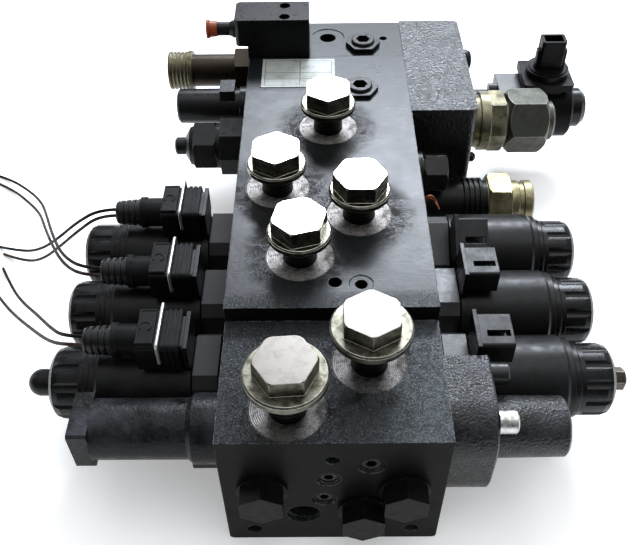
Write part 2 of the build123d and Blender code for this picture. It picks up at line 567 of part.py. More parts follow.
# ---------------------------------------------------------------- pressure balancer at the front
def balancer():
    y, z = from_front(BALANCER_Y), BALANCER_Z
    housing = turned([
        (50, 0), (50, 16.2), (63, 16.2), (65.5, 14.0), (109, 14.0), (109, 0),
    ])
    end = block(108.5, 117.5, -12.5, 12.5, -12.5, 12.5)
    housing += chamfer(end.edges().filter_by(Axis.X), 1.2)
    housing += block(54, 65.3, -9, 9, -20, -8)
    housing -= rod_x(49, 98, BALANCER_RADIUS)
    housing -= rod_x(65.4, 118, COIL_RADIUS + 0.5, y - section_y(3), SPOOL_HEIGHT - z)
    save("balancer_housing", outward(housing, -1, y, z))

    cover = block(SIDE, 71.5, from_front(5), from_front(43.6), 25, 82)
    cover = fillet(cover.edges().filter_by(Axis.X).group_by(Axis.Y)[0], 19.0)
    cover += block(SIDE, 71.5, from_front(40), from_front(47.5), 67, 82)
    outer = cover.edges().filter_by(Axis.Z).group_by(Axis.X)[-1]
    boss = turned([(71, 0), (71, 14.2), (104.5, 13.8), (105.5, 12.8), (105.5, 0)])
    cover = chamfer(outer, 1.0) + outward(boss, 1, y, z)
    cover -= rod_x(60, 99, 6.0, y, z)
    cover -= rod_x(64, 73, COIL_RADIUS + 0.6, section_y(3), SPOOL_HEIGHT)
    bolts = []
    for k, (distance, height) in enumerate(COVER_BOLTS):
        bolt_y = from_front(distance)
        cover -= rod_x(SIDE - 1, 72, 3.0, bolt_y, height)
        shank = rod_x(41.5, 71.5, 3.0 - THREAD_GAP)
        head = turned([(71.5, 0), (71.5, 5.3), (79.2, 5.3), (80, 4.5), (80, 0)]) - hex_x(77, 81, 5.0)
        bolts.append(outward(shank + head, 1, bolt_y, height))
    save("front_cover", cover)
    save("cover_bolts", *bolts)

    land = BALANCER_RADIUS - SPOOL_CLEARANCE
    piston = turned([
        (-34, 0), (-34, land), (-28, land), (-28, 5.0), (-12, 5.0), (-12, land), (4, land), (4, 5.0),
        (20, 5.0), (20, land), (49.8, land), (49.8, 0),
    ])
    save("balancer_piston", Pos(0, y, z) * piston)
    save("balancer_spring", Pos(0, y, z) * coil_spring(-97, -34.8, 6.2, 0.9, 9))


# ---------------------------------------------------------------- pigtail wires
# Each route leaves its boot, droops to the surface that the valve stands on and ends cut.
ROUTES = {
    "wire_1a": [
        (-116, -11.5, 78), (-127, -11.5, 78), (-143, -7.5, 65), (-161, 3, 43), (-180, 16, 21),
        (-199, 29, 6), (-219, 39, WIRE_FLOOR),
    ],
    "wire_1b": [
        (-116, -16.5, 78), (-126, -16.5, 78), (-141, -13, 64), (-159, -3, 42), (-178, 9, 19),
        (-196, 21, 5), (-214, 32, WIRE_FLOOR),
    ],
    "wire_2a": [
        (-116, -56.5, 78), (-127, -56.5, 78), (-143, -40, 71), (-161, -4, 53), (-178, 34, 33),
        (-193, 66, 16), (-211, 92, 4.5), (-231, 110, WIRE_FLOOR), (-246, 116, WIRE_FLOOR),
    ],
    "wire_2b": [
        (-116, -61.5, 78), (-126, -61.5, 78), (-142, -44, 68), (-161, -9, 50), (-179, 28, 30),
        (-193, 58, 13), (-209, 81, 3.5), (-227, 99, WIRE_FLOOR), (-243, 108, WIRE_FLOOR),
    ],
    "wire_3a": [
        (-116, -101.5, 78), (-127, -101.5, 78), (-141, -84, 64), (-160, -56, 41), (-181, -28, 20),
        (-198, -3, 5), (-211, 19, WIRE_FLOOR),
    ],
    "wire_3b": [
        (-116, -106.5, 78), (-126, -106.5, 78), (-141, -91, 62), (-162, -64, 39), (-184, -36, 17),
        (-202, -13, 4), (-218, 8, WIRE_FLOOR),
    ],
}


def wires():
    for name, route in ROUTES.items():
        points = [Vector(*p) for p in route]
        radii = []
        for a, b, c in zip(points, points[1:], points[2:]):
            half_turn = math.radians((b - a).get_angle(c - b)) / 2
            shorter = min((b - a).length, (c - b).length)
            radii.append(0.45 * shorter / math.tan(half_turn))
        path = FilletPolyline(*points, radius=radii)
        section = Plane(origin=path @ 0, z_dir=path % 0) * Circle(WIRE_DIAMETER / 2)
        tube = sweep(section, path=path)
        expected = math.pi * (WIRE_DIAMETER / 2) ** 2 * path.length
        print(name, "length", round(path.length, 1), "radii", [round(r) for r in radii],
              "volume share", round(tube.volume / expected, 4))
        save(name, tube)


# ---------------------------------------------------------------- build
valve_body()
sections()
plugs()
inlet_housing(rear_top())
solenoid_valve()
right_plugs()
left_rear()
balancer()
wires()
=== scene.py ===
import math

import bmesh
import bpy
from mathutils import Matrix, Vector


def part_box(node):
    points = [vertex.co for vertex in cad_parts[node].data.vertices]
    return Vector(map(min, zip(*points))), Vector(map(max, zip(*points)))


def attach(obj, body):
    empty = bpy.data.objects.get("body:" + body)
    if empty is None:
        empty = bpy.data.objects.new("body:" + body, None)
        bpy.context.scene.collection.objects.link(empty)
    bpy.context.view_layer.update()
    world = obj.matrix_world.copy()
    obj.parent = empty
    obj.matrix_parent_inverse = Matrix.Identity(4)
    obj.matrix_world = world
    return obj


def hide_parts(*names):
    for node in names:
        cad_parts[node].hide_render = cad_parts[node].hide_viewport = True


# Hydraulic valve block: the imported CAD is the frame, and this script gives it its surfaces, its small
# moulded and turned details, its wires and the studio. Metres, +Z up, origin under the middle of the body.

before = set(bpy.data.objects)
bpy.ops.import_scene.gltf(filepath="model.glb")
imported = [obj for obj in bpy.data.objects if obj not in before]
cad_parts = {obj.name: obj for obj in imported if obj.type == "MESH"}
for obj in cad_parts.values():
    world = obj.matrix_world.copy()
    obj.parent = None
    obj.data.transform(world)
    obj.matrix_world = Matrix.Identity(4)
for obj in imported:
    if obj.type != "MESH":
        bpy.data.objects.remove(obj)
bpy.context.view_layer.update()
MM = 0.001
HOUSING = "housing"
BODY_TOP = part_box("valve_body")[1].z
STEP_DROP = 9.2 * MM                      # the front end of the body's top lies this much lower
STEP_TOP = BODY_TOP - STEP_DROP

# Spans over which a finish changes from one state to the other
STEP_SPAN = (-0.088, -0.100)              # in Y, from the main top to the lowered step
GRIT_SPAN = (-0.085, -0.100)              # in Y, the same for the grit on it
PLUG_DULLS = (-0.040, -0.105)             # in Y, port plugs from bright to duller ones in front
PLUG_ROUGHENS = (-0.090, -0.105)          # in Y, the same for how rough their steel is
FOOT_SPAN = (-0.100, -0.095)              # in Y, from the front plugs' flanges to the rear ones'
FLANGE_FEET = (0.1065, 0.1079)            # height of the underside of those flanges, front and rear
HEXAGON_TOP = (0.1172, 0.1180)            # in Z, from a hexagon's side to its top
BARE_BOLT = (-0.1375, -0.1385)            # in Y, from the black cover bolts to the bare one
LEFT_BASES = (0.01, -0.01)                # in X, from the right solenoid bases to the left ones

# Ports with a plug: centre of each and the height of its face
PORTS = [
    (0.0, 0.041, BODY_TOP), (-0.0275, -0.013, BODY_TOP), (0.015, -0.0345, BODY_TOP),
    (-0.015, -0.065, BODY_TOP), (0.0165, -0.1234, STEP_TOP), (-0.0195, -0.1474, STEP_TOP),
]
SPOOL_Y = {1: -0.014, 2: -0.059, 3: -0.104}
SPOOL_Z = 0.045


# ---------------------------------------------------------------- camera
CAMERA_PLACE = (-0.00508, -0.340, 0.36923)
CAMERA_TURN = (46.2085, -0.4614, -0.7626)  # degrees: pitch down, yaw, roll


def make_camera():
    """Looks down on the block from its front end."""
    pitch, yaw, roll = (math.radians(angle) for angle in CAMERA_TURN)
    ahead = Vector((math.sin(yaw) * math.cos(pitch), math.cos(yaw) * math.cos(pitch), -math.sin(pitch)))
    right = Vector((math.cos(yaw), -math.sin(yaw), 0))
    up = right.cross(ahead)
    right, up = (
        math.cos(roll) * right + math.sin(roll) * up,
        math.cos(roll) * up - math.sin(roll) * right,
    )
    data = bpy.data.cameras.new("camera")
    data.sensor_width = 36.0
    data.lens = 45.23
    data.clip_start, data.clip_end = 0.01, 50
    camera = bpy.data.objects.new("camera", data)
    camera.matrix_world = Matrix((
        (right.x, up.x, -ahead.x, CAMERA_PLACE[0]),
        (right.y, up.y, -ahead.y, CAMERA_PLACE[1]),
        (right.z, up.z, -ahead.z, CAMERA_PLACE[2]),
        (0, 0, 0, 1),
    ))
    bpy.context.scene.collection.objects.link(camera)
    bpy.context.scene.camera = camera


make_camera()


# ---------------------------------------------------------------- material building
class Shade:
    """A node material being put together around one Principled shader."""

    def __init__(self, name):
        self.material = bpy.data.materials.new(name)
        self.material.use_nodes = True
        self.tree = self.material.node_tree
        self.tree.nodes.clear()
        output = self.tree.nodes.new("ShaderNodeOutputMaterial")
        self.surface = self.tree.nodes.new("ShaderNodeBsdfPrincipled")
        self.tree.links.new(self.surface.outputs[0], output.inputs[0])
        self.place = self.tree.nodes.new("ShaderNodeTexCoord").outputs["Object"]
        self.geometry = self.tree.nodes.new("ShaderNodeNewGeometry")

    def put(self, socket, value):
        if hasattr(value, "is_output"):
            self.tree.links.new(value, socket)
        else:
            socket.default_value = value

    def node(self, kind, out=0, inputs=(), **settings):
        made = self.tree.nodes.new("ShaderNode" + kind)
        for key, value in settings.items():
            setattr(made, key, value)
        for key, value in dict(inputs).items():
            self.put(made.inputs[key], value)
        return made.outputs[out]

    def set(self, **values):
        for key, value in values.items():
            self.put(self.surface.inputs[key.replace("_", " ")], value)

    def noise(self, size_mm, detail=2.0, roughness=0.5, where=None, warp=0.0):
        """Noise whose features are about that many millimetres across."""
        return self.node("TexNoise", 0, {
            "Vector": where or self.place, "Scale": 1000.0 / size_mm, "Detail": detail,
            "Roughness": roughness, "Distortion": warp,
        })

    def cells(self, size_mm):
        return self.node("TexVoronoi", 0, {"Vector": self.place, "Scale": 1000.0 / size_mm})

    def calc(self, operation, a, b=0.0):
        return self.node("Math", 0, {0: a, 1: b}, operation=operation)

    def times(self, a, b):
        return self.calc("MULTIPLY", a, b)

    def either(self, a, b):
        return self.calc("MAXIMUM", a, b)

    def step(self, value, low, high, to_low=0.0, to_high=1.0):
        """A smooth passage from to_low to to_high as value goes from low to high."""
        return self.node("MapRange", 0, {
            "Value": value, "From Min": low, "From Max": high, "To Min": to_low, "To Max": to_high,
        }, interpolation_type="SMOOTHSTEP")

    def blend(self, share, a, b):
        """Colour a where share is 0 and colour b where it is 1."""
        return self.node("Mix", 2, {0: share, 6: a, 7: b}, data_type="RGBA")

    def fade(self, share, a, b):
        """The same for plain numbers."""
        return self.node("Mix", 0, {0: share, 2: a, 3: b}, data_type="FLOAT")

    def along(self, axis):
        """The piece's own coordinate along an axis: 0 for X, 1 for Y, 2 for Z."""
        return self.node("SeparateXYZ", axis, {0: self.place})

    def stretched(self, x, y, z):
        return self.node("VectorMath", 0, {0: self.place, 1: (x, y, z)}, operation="MULTIPLY")

    def facing_up(self):
        """How far the surface faces up: 1 on a level top and 0 on a wall."""
        return self.node("SeparateXYZ", 2, {0: self.geometry.outputs["Normal"]})

    def soft_edges(self, radius_mm):
        return self.node("Bevel", 0, {"Radius": radius_mm * MM}, samples=4)

    def edges(self, rounded):
        """1 on a worn edge and 0 on flat ground, from how far the rounded normal turns from the true one."""
        turn = self.node("VectorMath", 1, {0: rounded, 1: self.geometry.outputs["True Normal"]},
                         operation="DOT_PRODUCT")
        return self.step(turn, 0.985, 0.90)

    def near(self, centres, inner_mm, outer_mm):
        """1 inside inner_mm of any of the points and 0 beyond outer_mm."""
        total = None
        for centre in centres:
            gap = self.node("VectorMath", 1, {0: self.place, 1: tuple(centre)}, operation="DISTANCE")
            part = self.step(gap, inner_mm * MM, outer_mm * MM, 1.0, 0.0)
            total = part if total is None else self.either(total, part)
        return total

    def relief(self, height, depth_mm, normal=None):
        """A normal that follows the height, on top of the given normal."""
        inputs = {"Height": height, "Distance": depth_mm * MM, "Strength": 1.0}
        if normal is not None:
            inputs["Normal"] = normal
        return self.node("Bump", 0, inputs)


def grey(value, warm=0.0):
    """A grey, turned to brown by a positive warm and to blue by a negative one."""
    return (value * (1 + warm), value, value * (1 - warm), 1)


# ---------------------------------------------------------------- finishes
def painted_block():
    """Satin black paint on the machined body: a smooth sheen, oily round the ports, worn at its edges, with
    a painted sheen and painted glints on the lowered step.
    """
    s = Shade("paint_block")
    rounded = s.soft_edges(0.7)
    up = s.step(s.facing_up(), 0.3, 0.9)
    forward = s.along(1)
    film = s.times(s.step(s.noise(70, 2, 0.4), 0.30, 0.70), up)

    around = s.near(PORTS, 18, 33)
    speck = s.step(s.noise(2.0, 5, 0.75, warp=0.6), 0.52, 0.58)
    drips = s.step(s.noise(12, 5, 0.65, warp=1.2), 0.50, 0.57)
    oil = s.times(around, s.either(s.times(speck, 0.7), drips))
    stray = s.times(s.step(s.noise(4.0, 5, 0.75), 0.66, 0.70), 0.6)
    oil = s.times(s.either(oil, stray), up)

    on_step = s.times(s.step(forward, *STEP_SPAN), up)
    # Painted sheen: the right of the lowered step is coloured a lighter teal-grey, as a painted highlight.
    step_painted_sheen = s.times(on_step, s.step(s.along(0), -0.010, 0.045, 0.25, 1.0))
    step_painted_sheen = s.times(step_painted_sheen, s.step(s.noise(3, 5, 0.75), 0.34, 0.60, 0.35, 1.0))
    paint = s.blend(film, (0.004, 0.0045, 0.0045, 1), (0.009, 0.011, 0.014, 1))
    paint = s.blend(step_painted_sheen, paint, (0.052, 0.061, 0.066, 1))
    paint = s.blend(oil, paint, (0.002, 0.002, 0.002, 1))

    chips = s.times(s.edges(rounded), s.step(s.noise(5, 5, 0.7), 0.44, 0.58))
    # Painted glints: fine light specks on the lowered step, added to the specks over the whole top.
    step_painted_glints = s.times(s.step(s.noise(1.0, 4, 0.8), 0.56, 0.62), on_step)
    specks_and_painted_glints = s.either(s.step(s.noise(1.5, 4, 0.7), 0.72, 0.77), s.times(step_painted_glints, 0.6))
    specks_and_painted_glints = s.times(specks_and_painted_glints, up)
    colour = s.blend(s.either(chips, s.times(specks_and_painted_glints, 0.4)), paint, (0.30, 0.30, 0.29, 1))
    rough = s.step(s.noise(9, 4, 0.6), 0.25, 0.75, 0.27, 0.33)
    rough = s.fade(oil, rough, 0.62)

    gritty = s.either(s.step(forward, *GRIT_SPAN), s.times(around, 0.45))
    brushed = s.relief(s.noise(0.7, 3, 0.6, where=s.stretched(0.08, 1, 1)), 0.035, rounded)
    peel = s.relief(s.noise(2.4, 3, 0.6), 0.05, brushed)
    grit = s.times(s.step(s.noise(0.7, 5, 0.8), 0.46, 0.66), s.times(gritty, up))
    pits = s.relief(grit, 0.13, peel)
    s.set(Base_Color=colour, Roughness=rough, Normal=pits, Metallic=s.times(chips, 0.8),
          Specular_IOR_Level=0.20)
    return s.material


def painted_sides():
    """The same paint on the upright faces, where it is plain, dark and nearly matt."""
    s = Shade("paint_sides")
    rounded = s.soft_edges(0.7)
    paint = s.blend(s.noise(18, 4, 0.6), (0.0030, 0.0034, 0.0026, 1), (0.0060, 0.0066, 0.0052, 1))
    chips = s.times(s.edges(rounded), s.step(s.noise(5, 5, 0.7), 0.44, 0.58))
    colour = s.blend(s.times(chips, 0.6), paint, (0.20, 0.20, 0.19, 1))
    rough = s.step(s.noise(9, 4, 0.6), 0.25, 0.75, 0.36, 0.46)
    s.set(Base_Color=colour, Roughness=rough, Normal=s.relief(s.noise(1.6, 3, 0.6), 0.05, rounded),
          Specular_IOR_Level=0.05)
    return s.material


def casting(name, size_mm, depth_mm, dust, shine=0.30):
    """Rough sand casting under black paint, with a light bluish film on the tops that is dust and painted
    sheen.
    """
    s = Shade(name)
    up = s.step(s.facing_up(), 0.1, 0.9)
    grain = s.noise(size_mm, 2, 0.5, warp=0.2)
    lumps = s.cells(size_mm * 1.5)
    height = s.calc("ADD", grain, s.times(lumps, 0.45))
    # Dust and painted sheen: the upward faces are coloured lighter and bluish, keeping the tops light in
    # place of part of their highlight.
    film = s.times(s.step(s.noise(16, 4, 0.6), 0.35, 0.7), up)
    colour = s.blend(s.step(grain, 0.35, 0.7), (0.003, 0.0032, 0.0032, 1), (0.009, 0.0095, 0.010, 1))
    colour = s.blend(s.times(film, dust), colour, (0.034, 0.036, 0.042, 1))
    rough = s.step(s.noise(4, 4, 0.6), 0.3, 0.7, 0.24, 0.44)
    normal = s.relief(height, depth_mm)
    normal = s.relief(s.noise(0.6, 2), 0.05, normal)
    s.set(Base_Color=colour, Roughness=rough, Normal=normal, Specular_IOR_Level=shine)
    return s.material


def black_machined(name, tone=0.005, rough=0.30, shine=0.18, wear=0.8):
    """Black oxide on turned steel."""
    s = Shade(name)
    rounded = s.soft_edges(0.5)
    worn = s.times(s.edges(rounded), s.step(s.noise(3, 4, 0.7), 0.45, 0.62))
    base = s.blend(s.noise(6, 4, 0.6), grey(tone * 0.6), grey(tone * 1.7, -0.05))
    colour = s.blend(s.times(worn, wear), base, (0.16, 0.16, 0.145, 1))
    roughness = s.step(s.noise(4, 4, 0.6), 0.25, 0.75, rough - 0.08, rough + 0.12)
    normal = s.relief(s.noise(1.4, 4, 0.6), 0.05, rounded)
    s.set(Base_Color=colour, Roughness=roughness, Normal=normal, Metallic=s.times(worn, 0.7),
          Specular_IOR_Level=shine)
    return s.material


def bright_plug():
    """Plated hexagon plugs: clean pale tops, stained sides and flanges, greasy dark shanks."""
    s = Shade("plug_steel")
    rounded = s.soft_edges(0.5)
    height = s.along(2)
    forward = s.along(1)
    foot = s.step(forward, *FOOT_SPAN, *FLANGE_FEET)
    below = s.step(s.calc("SUBTRACT", height, foot), 0.6 * MM, -0.6 * MM)
    top = s.times(s.step(height, *HEXAGON_TOP), s.step(s.facing_up(), 0.55, 0.85))
    smear = s.step(s.noise(5, 5, 0.65, warp=0.8), 0.42, 0.70)
    clean = s.blend(smear, (0.60, 0.57, 0.51, 1), (0.46, 0.42, 0.35, 1))
    front = s.blend(smear, (0.158, 0.148, 0.133, 1), (0.128, 0.118, 0.104, 1))
    clean = s.blend(s.step(forward, *PLUG_DULLS), clean, front)
    stain = s.step(s.noise(4, 5, 0.7, warp=0.6), 0.40, 0.66)
    stained = s.blend(stain, (0.15, 0.145, 0.115, 1), (0.05, 0.046, 0.032, 1))
    stained = s.blend(s.times(s.edges(rounded), 0.8), stained, (0.60, 0.58, 0.52, 1))
    specks = s.times(s.step(s.noise(1.1, 4, 0.7), 0.66, 0.72), 0.35)
    colour = s.blend(top, stained, s.blend(specks, clean, (0.22, 0.18, 0.12, 1)))
    colour = s.blend(below, colour, (0.018, 0.017, 0.015, 1))
    rough = s.step(s.noise(3, 4, 0.6), 0.25, 0.75, 0.20, 0.27)
    rough = s.fade(s.step(forward, *PLUG_ROUGHENS), rough, 0.34)
    rough = s.fade(below, rough, 0.40)
    threads = s.node("TexWave", 1, {"Vector": s.place, "Scale": 150.0}, bands_direction="Z")
    scratches = s.noise(1.6, 4, 0.7, where=s.stretched(0.3, 1.0, 1.0))
    normal = s.relief(scratches, 0.015, rounded)
    normal = s.relief(s.times(threads, below), 0.22, normal)
    s.set(Base_Color=colour, Roughness=rough, Normal=normal, Metallic=1.0)
    return s.material


def bright_steel(name, tone=0.62, rough=0.26):
    """Bare or plated steel with light stains."""
    s = Shade(name)
    rounded = s.soft_edges(0.4)
    stain = s.step(s.noise(4, 5, 0.65), 0.45, 0.7)
    colour = s.blend(stain, grey(tone, 0.02), grey(tone * 0.55, 0.08))
    roughness = s.step(s.noise(2.5, 4, 0.6), 0.25, 0.75, rough - 0.05, rough + 0.12)
    normal = s.relief(s.noise(0.9, 3, 0.6), 0.03, rounded)
    s.set(Base_Color=colour, Roughness=roughness, Normal=normal, Metallic=1.0)
    return s.material


def cover_bolt():
    """The front screw is bare zinc, the ones behind it are black."""
    s = Shade("cover_bolt")
    rounded = s.soft_edges(0.5)
    bare = s.step(s.along(1), *BARE_BOLT)
    zinc = s.blend(s.step(s.noise(4, 5, 0.65), 0.45, 0.7), (0.50, 0.51, 0.49, 1), (0.24, 0.24, 0.22, 1))
    colour = s.blend(bare, (0.010, 0.010, 0.010, 1), zinc)
    s.set(Base_Color=colour, Metallic=bare, Normal=s.relief(s.noise(1.0, 3), 0.04, rounded),
          Roughness=s.step(s.noise(3, 4), 0.3, 0.7, 0.26, 0.44), Specular_IOR_Level=0.3)
    return s.material


def zinc_colour(s, rounded, bright, dull, grimy):
    """Patchy zinc from bright to dull, with grime in it and lighter worn edges."""
    patches = s.step(s.noise(12, 4, 0.6, warp=0.5), 0.36, 0.70)
    colour = s.blend(patches, (*bright, 1), (*dull, 1))
    grime = s.step(s.noise(2.2, 5, 0.75), 0.57, 0.66)
    colour = s.blend(s.times(grime, grimy), colour, (0.035, 0.030, 0.020, 1))
    return s.blend(s.times(s.edges(rounded), 0.6), colour, (0.70, 0.66, 0.52, 1))


def olive_zinc(name, bright, dull, rough=0.30, grimy=0.7):
    """Yellow passivated zinc that has greyed and stained."""
    s = Shade(name)
    rounded = s.soft_edges(0.6)
    colour = zinc_colour(s, rounded, bright, dull, grimy)
    roughness = s.step(s.noise(3, 4, 0.6), 0.25, 0.75, rough - 0.06, rough + 0.14)
    normal = s.relief(s.noise(1.1, 4, 0.6), 0.05, rounded)
    s.set(Base_Color=colour, Roughness=roughness, Normal=normal, Metallic=0.95)
    return s.material


def two_tone(name, split, black_side, bright, dull):
    """Zinc outside the plane at x = split, and darkened steel between it and the body."""
    s = Shade(name)
    rounded = s.soft_edges(0.5)
    share = s.step(s.along(0), split - 0.3 * MM, split + 0.3 * MM)
    zinc, dark = zinc_colour(s, rounded, bright, dull, 0.6), (*black_side, 1)
    colour = s.blend(share, zinc, dark) if split < 0 else s.blend(share, dark, zinc)
    rough = s.step(s.noise(3, 4, 0.6), 0.25, 0.75, 0.34, 0.50)
    normal = s.relief(s.noise(1.2, 4, 0.6), 0.05, rounded)
    s.set(Base_Color=colour, Roughness=rough, Normal=normal, Metallic=0.9)
    return s.material


def moulded(name, tone, rough, grain_mm, depth_mm, dust, shine, tint=0.0, edge_mm=0.5, colour=None):
    """Moulded plastic or rubber with a fine grain, a film of dust on top and lighter rubbed edges."""
    s = Shade(name)
    rounded = s.soft_edges(edge_mm)
    up = s.step(s.facing_up(), 0.2, 1.0)
    film = s.times(s.times(s.step(s.noise(11, 5, 0.6, warp=0.5), 0.38, 0.72), up), dust)
    if colour is None:
        base = s.blend(s.noise(8, 3), grey(tone * 0.75, tint), grey(tone * 1.3, tint))
    else:
        base = s.blend(s.noise(3, 4), (*colour, 1), (*[c * 0.45 for c in colour], 1))
    colour = s.blend(film, base, (0.024, 0.026, 0.029, 1))
    rubbed = s.times(s.edges(rounded), s.step(s.noise(4, 4, 0.7), 0.42, 0.60))
    colour = s.blend(s.times(rubbed, 0.5), colour, grey(0.05))
    roughness = s.step(s.noise(6, 5, 0.65), 0.25, 0.75, rough - 0.09, rough + 0.12)
    normal = s.relief(s.noise(grain_mm, 2, 0.5), depth_mm, rounded)
    normal = s.relief(s.noise(7, 3, 0.5), 0.06, normal)
    s.set(Base_Color=colour, Roughness=roughness, Normal=normal, Specular_IOR_Level=shine)
    return s.material


def plated_block():
    """Dull black plated steel of the solenoid bases."""
    s = Shade("plated_block")
    rounded = s.soft_edges(0.6)
    patches = s.step(s.noise(14, 4, 0.6), 0.35, 0.75)
    colour = s.blend(patches, (0.030, 0.031, 0.032, 1), (0.012, 0.012, 0.012, 1))
    colour = s.blend(s.times(s.step(s.noise(1.3, 4, 0.7), 0.60, 0.70), 0.5), colour, (0.05, 0.05, 0.045, 1))
    left = s.step(s.along(0), *LEFT_BASES)
    colour = s.blend(left, colour, s.blend(patches, (0.010, 0.010, 0.011, 1), (0.006, 0.006, 0.006, 1)))
    rough = s.step(s.noise(3, 4, 0.6), 0.25, 0.75, 0.30, 0.44)
    rough = s.fade(left, rough, 0.70)
    normal = s.relief(s.noise(1.2, 4, 0.6), 0.06, rounded)
    s.set(Base_Color=colour, Roughness=rough, Normal=normal, Specular_IOR_Level=0.36)
    return s.material


FORM_INSET = 2.0 * MM                     # from the edge of the label plate to its ruled form
FORM_ROWS = (9 * MM, 16 * MM)             # inner lines of the form, from the plate's near edge
FORM_COLUMN = 24 * MM                     # the same from its left edge
LINE_HALF = (0.18 * MM, 0.32 * MM)        # from the middle of a line, where it starts and ends to fade


def label_foil():
    """Pale foil plate with an empty ruled form on it."""
    s = Shade("label_foil")
    low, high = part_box("label_plate")
    x, y = s.along(0), s.along(1)
    marks = None
    rows = [low.y + FORM_INSET, *(low.y + row for row in FORM_ROWS), high.y - FORM_INSET]
    columns = [low.x + FORM_INSET, low.x + FORM_COLUMN, high.x - FORM_INSET]
    for axis, values in ((x, columns), (y, rows)):
        for value in values:
            gap = s.calc("ABSOLUTE", s.calc("SUBTRACT", axis, value))
            line = s.step(gap, *LINE_HALF, 1.0, 0.0)
            marks = line if marks is None else s.either(marks, line)
    inside = None
    for axis, a, b in ((x, columns[0], columns[-1]), (y, rows[0], rows[-1])):
        middle, half = (a + b) / 2, (b - a) / 2 + 0.2 * MM
        gap = s.calc("ABSOLUTE", s.calc("SUBTRACT", axis, middle))
        part = s.calc("LESS_THAN", gap, half)
        inside = part if inside is None else s.times(inside, part)
    marks = s.times(marks, inside)
    stain = s.step(s.noise(6, 5, 0.65), 0.50, 0.72)
    foil = s.blend(stain, (0.34, 0.36, 0.34, 1), (0.22, 0.225, 0.20, 1))
    colour = s.blend(s.times(marks, 0.85), foil, (0.03, 0.03, 0.03, 1))
    s.set(Base_Color=colour, Roughness=s.step(s.noise(3), 0.3, 0.7, 0.38, 0.5), Specular_IOR_Level=0.3,
          Normal=s.relief(s.noise(2.5, 3), 0.05))
    return s.material


TURNING_MARKS = 7000.0                    # radians per metre, which puts a mark at each 0.9 mm
RING_RIM = (16.2 * MM, 16.9 * MM)         # over this span in radius the ring darkens to its rim


def machined_ring(name, clean, soiled):
    """Spotface round a port: fine turning marks, dulled by oil and grit.

    The piece's origin lies on the port's axis.
    """
    s = Shade(name)
    radius = s.node("VectorMath", 1, {0: s.stretched(1, 1, 0)}, operation="LENGTH")
    rings = s.calc("SINE", s.times(radius, TURNING_MARKS))
    grit = s.step(s.noise(1.5, 5, 0.75), 0.53, 0.61)
    wet = s.step(s.noise(9, 4, 0.6, warp=1.0), 0.46, 0.64)
    colour = s.blend(wet, grey(clean, 0.06), grey(soiled, 0.08))
    colour = s.blend(s.step(rings, 0.2, 0.9, 0.0, 0.35), colour, (0.05, 0.048, 0.042, 1))
    colour = s.blend(s.times(grit, 0.75), colour, (0.010, 0.010, 0.009, 1))
    rim = s.step(radius, *RING_RIM)
    colour = s.blend(s.times(rim, 0.8), colour, (0.008, 0.008, 0.008, 1))
    rough = s.step(s.noise(4, 4), 0.3, 0.7, 0.34, 0.54)
    s.set(Base_Color=colour, Roughness=rough, Metallic=0.6, Specular_IOR_Level=0.2,
          Normal=s.relief(s.noise(1.0, 3), 0.06, s.relief(rings, 0.05)))
    return s.material


def wire_skin(name, dark, light):
    """Insulation or bare strand, between two colours."""
    s = Shade(name)
    colour = s.blend(s.step(s.noise(5, 4), 0.35, 0.7), (*dark, 1), (*light, 1))
    s.set(Base_Color=colour, Roughness=s.step(s.noise(3), 0.3, 0.7, 0.45, 0.62), Specular_IOR_Level=0.08,
          Normal=s.relief(s.noise(0.5), 0.02))
    return s.material


